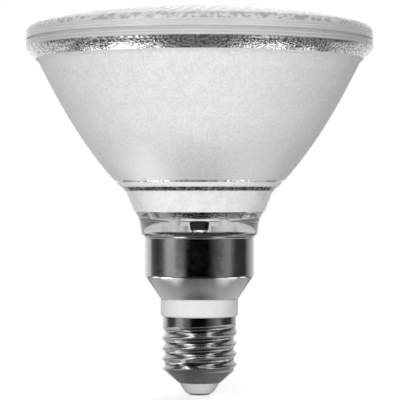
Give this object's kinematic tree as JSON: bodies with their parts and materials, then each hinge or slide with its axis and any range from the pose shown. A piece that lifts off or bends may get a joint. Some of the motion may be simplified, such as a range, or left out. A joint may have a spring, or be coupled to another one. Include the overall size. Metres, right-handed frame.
{
  "type": "par38 halogen reflector spotlight bulb",
  "caption": "Pressed-glass reflector floodlight bulb with a domed patterned lens, a metal sleeve on its neck and a screw base.",
  "frame": {"origin": "tip of the centre contact's solder button, on the bulb's axis", "axes": "+Z along the bulb's axis from the screw base to the lens; +X through the right-hand ferrule"},
  "size_m": [0.121, 0.121, 0.1353],
  "materials": {
    "lens_glass": "polished",
    "reflector_glass": "satin",
    "seal": "matte",
    "ferrule_metal": "satin",
    "nickel_wire": "satin",
    "foil": "satin",
    "tungsten": "satin",
    "quartz": "polished",
    "cement": "matte",
    "sleeve_metal": "satin",
    "white_ceramic": "matte",
    "nickel_plate": "polished",
    "pale_insulator": "matte",
    "contact_metal": "satin",
    "solder": "satin",
    "copper_wire": "satin",
    "glass_sleeving": "matte"
  },
  "bodies": {
    "root": {"front_lens": "lens_glass", "reflector_bowl": "reflector_glass", "rim_seal": "seal", "ferrule_left": "ferrule_metal", "ferrule_right": "ferrule_metal", "post_left": "nickel_wire", "post_right": "nickel_wire", "capsule_lead_left": "nickel_wire", "capsule_lead_right": "nickel_wire", "foil_left": "foil", "foil_right": "foil", "filament_leg": "tungsten", "filament_hanger": "tungsten", "filament": "tungsten", "capsule_envelope": "quartz", "neck_cement": "cement", "skirt_sleeve": "sleeve_metal", "insulating_ring": "white_ceramic", "screw_base": "nickel_plate", "contact_insulator": "pale_insulator", "centre_contact": "contact_metal", "contact_solder": "solder", "live_wire": "copper_wire", "neutral_wire": "copper_wire", "wire_sleeving": "glass_sleeving", "side_weld": "solder"}
  },
  "joints": []
}
